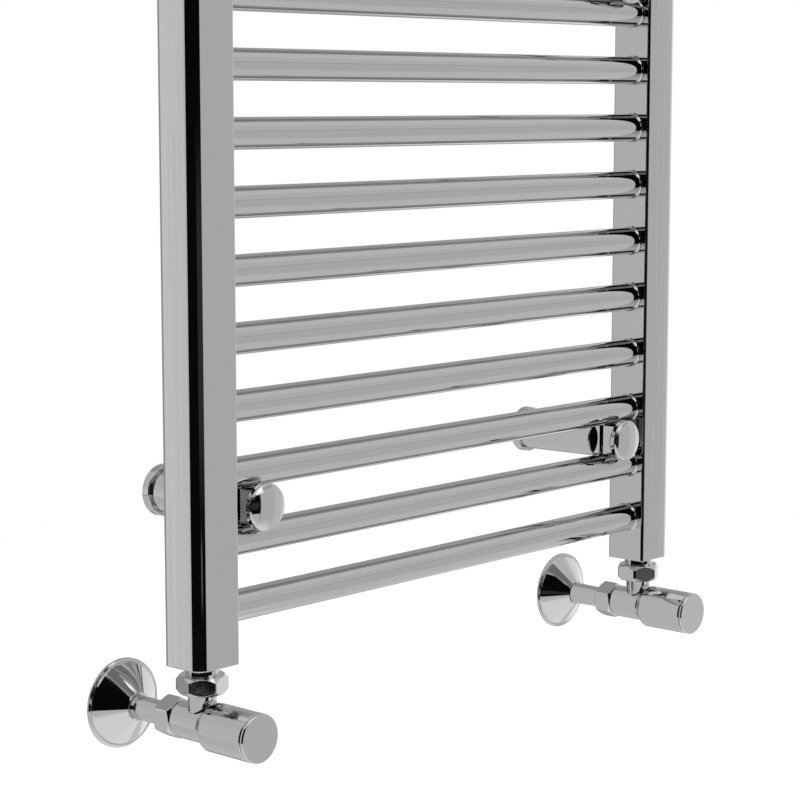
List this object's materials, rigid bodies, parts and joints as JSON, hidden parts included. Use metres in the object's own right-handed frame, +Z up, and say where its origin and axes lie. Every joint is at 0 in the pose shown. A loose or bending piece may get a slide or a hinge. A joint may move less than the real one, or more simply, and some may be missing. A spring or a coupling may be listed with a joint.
{
  "type": "towel radiator",
  "caption": "Wall-hung ladder towel radiator: round bars between D-section collectors, clamp brackets on rosettes, and an angled valve with a round head under each collector.",
  "frame": {"origin": "on the wall surface, midway between the supply pipes, at the height of their axes", "axes": "+X to the right along the bars, +Y into the wall, +Z up; the room side faces -Y"},
  "size_m": [0.564, 0.144, 0.6635],
  "materials": {
    "chrome": "mirror-polished chrome plate",
    "plain_steel": "drawn steel pipe, plain",
    "brass": "turned brass, unplated",
    "nickel": "nickel-plated brass",
    "rubber": "black sealing rubber"
  },
  "bodies": {
    "radiator": {"air_vent_body": "chrome", "bar_01": "chrome", "bar_02": "chrome", "bar_03": "chrome", "bar_04": "chrome", "bar_05": "chrome", "bar_06": "chrome", "bar_07": "chrome", "bar_08": "chrome", "bar_09": "chrome", "bar_10": "chrome", "bar_11": "chrome", "bar_12": "chrome", "blanking_plug": "chrome", "bracket_lower_left_clamp": "chrome", "bracket_lower_left_rosette": "chrome", "bracket_lower_left_stem": "chrome", "bracket_lower_right_clamp": "chrome", "bracket_lower_right_rosette": "chrome", "bracket_lower_right_stem": "chrome", "bracket_upper_left_clamp": "chrome", "bracket_upper_left_rosette": "chrome", "bracket_upper_left_stem": "chrome", "bracket_upper_right_clamp": "chrome", "bracket_upper_right_rosette": "chrome", "bracket_upper_right_stem": "chrome", "collector_left": "chrome", "collector_left_bottom_cap": "chrome", "collector_left_top_cap": "chrome", "collector_right": "chrome", "collector_right_bottom_cap": "chrome", "collector_right_top_cap": "chrome", "valve_left_body": "chrome", "valve_left_bonnet": "brass", "valve_left_compression_nut": "chrome", "valve_left_olive": "brass", "valve_left_pipe_sleeve": "chrome", "valve_left_supply_pipe": "plain_steel", "valve_left_union_nut": "chrome", "valve_left_union_tail": "chrome", "valve_left_wall_cover": "chrome", "valve_right_body": "chrome", "valve_right_bonnet": "brass", "valve_right_compression_nut": "chrome", "valve_right_olive": "brass", "valve_right_pipe_sleeve": "chrome", "valve_right_supply_pipe": "plain_steel", "valve_right_union_nut": "chrome", "valve_right_union_tail": "chrome", "valve_right_wall_cover": "chrome"},
    "valve_left_wheel": {"valve_left_wheel_head": "chrome", "valve_left_head_disc": "chrome", "valve_left_spindle": "nickel"},
    "valve_left_closer": {"valve_left_plug": "rubber"},
    "valve_right_cap": {"valve_right_lockshield_cap": "chrome", "valve_right_cap_disc": "chrome"},
    "valve_right_stem": {"valve_right_spindle": "nickel"},
    "valve_right_closer": {"valve_right_plug": "rubber"},
    "vent_key": {"air_vent_screw": "nickel"}
  },
  "joints": [
    {"name": "left_wheel_turn", "type": "hinge", "parent": "radiator", "child": "valve_left_wheel", "pos_m": [-0.25, -0.088, 0], "axis": [0, -1, 0], "range_deg": [0, 900]},
    {"name": "left_closer_travel", "type": "slide", "parent": "radiator", "child": "valve_left_closer", "axis": [0, -1, 0], "range_m": [0, 0.0038]},
    {"name": "right_cap_pull", "type": "slide", "parent": "radiator", "child": "valve_right_cap", "axis": [0, -1, 0], "range_m": [0, 0.05]},
    {"name": "right_stem_turn", "type": "hinge", "parent": "radiator", "child": "valve_right_stem", "pos_m": [0.25, -0.088, 0], "axis": [0, -1, 0], "range_deg": [0, 900]},
    {"name": "right_closer_travel", "type": "slide", "parent": "radiator", "child": "valve_right_closer", "axis": [0, -1, 0], "range_m": [0, 0.0038]},
    {"name": "vent_screw_turn", "type": "hinge", "parent": "radiator", "child": "vent_key", "pos_m": [0.25, -0.088, 0.62], "axis": [0, 0, 1], "range_deg": [0, 540]}
  ],
  "couplings": [
    {"joint": "left_closer_travel", "follows": "left_wheel_turn", "m_per_rad": 0.00023873},
    {"joint": "right_closer_travel", "follows": "right_stem_turn", "m_per_rad": 0.00023873}
  ]
}
